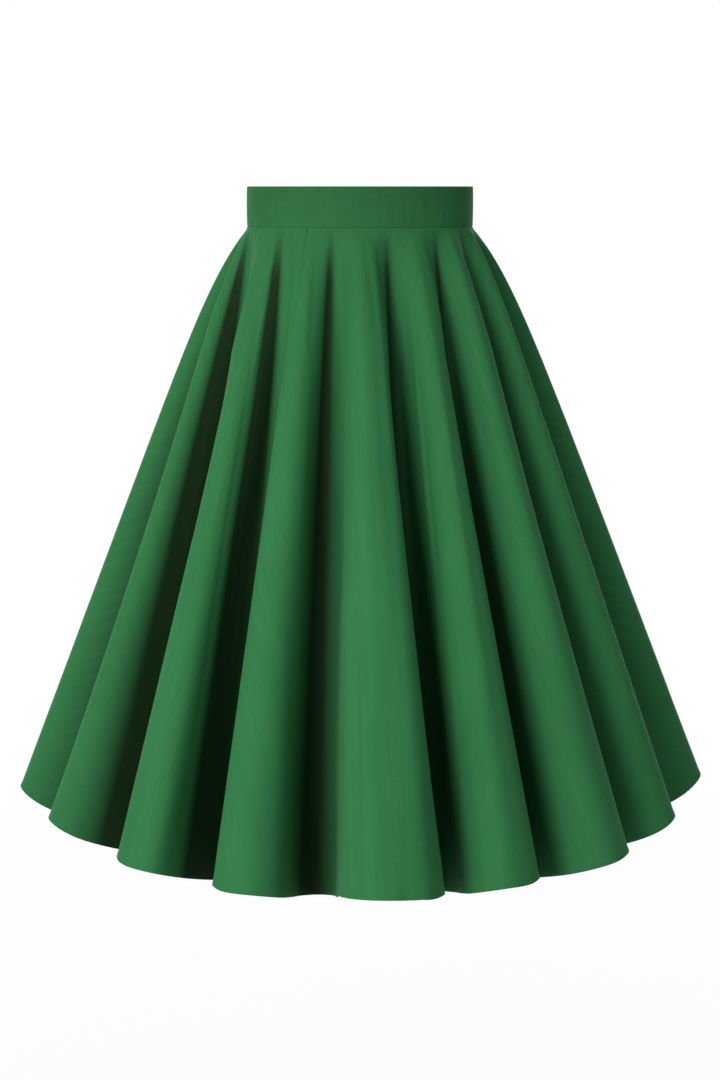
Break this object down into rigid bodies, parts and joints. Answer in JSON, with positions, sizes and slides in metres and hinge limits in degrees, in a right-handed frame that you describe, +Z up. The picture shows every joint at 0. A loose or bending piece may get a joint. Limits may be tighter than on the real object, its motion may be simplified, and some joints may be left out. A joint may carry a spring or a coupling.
{
  "type": "circle skirt",
  "caption": "Knee-length full circle skirt in plain woven cloth: straight waistband, deep uneven flutes from waist to hem, open below, concealed zip at centre back with a hinged pull tab.",
  "frame": {"origin": "centre of the waistband at mid-height, where the wearer's waist holds the skirt", "axes": "+Z up through the waist, -Y is the way the wearer faces, +X is the wearer's left"},
  "size_m": [0.7411, 0.6939, 0.6898],
  "materials": {
    "skirt_cloth": "smooth woven cotton sateen, bottle green, soft low sheen",
    "waistband_cloth": "the same cloth, doubled and interlined, pressed flat",
    "zip_tape": "plain woven tape dyed to match",
    "zip_lacquer": "satin green lacquer"
  },
  "bodies": {
    "skirt": {"waistband": "waistband_cloth", "front_panel": "skirt_cloth", "side_front_left_panel": "skirt_cloth", "side_front_right_panel": "skirt_cloth", "back_left_panel": "skirt_cloth", "back_right_panel": "skirt_cloth", "zip_tape_left": "zip_tape", "zip_tape_right": "zip_tape", "zip_slider": "zip_lacquer"},
    "pull_tab": {"zip_pull": "zip_lacquer"}
  },
  "joints": [
    {"name": "pull_tab_swing", "type": "hinge", "parent": "skirt", "child": "pull_tab", "pos_m": [0, 0.0931, 0.0135], "axis": [1, 0, 0], "range_deg": [0, 170]}
  ]
}
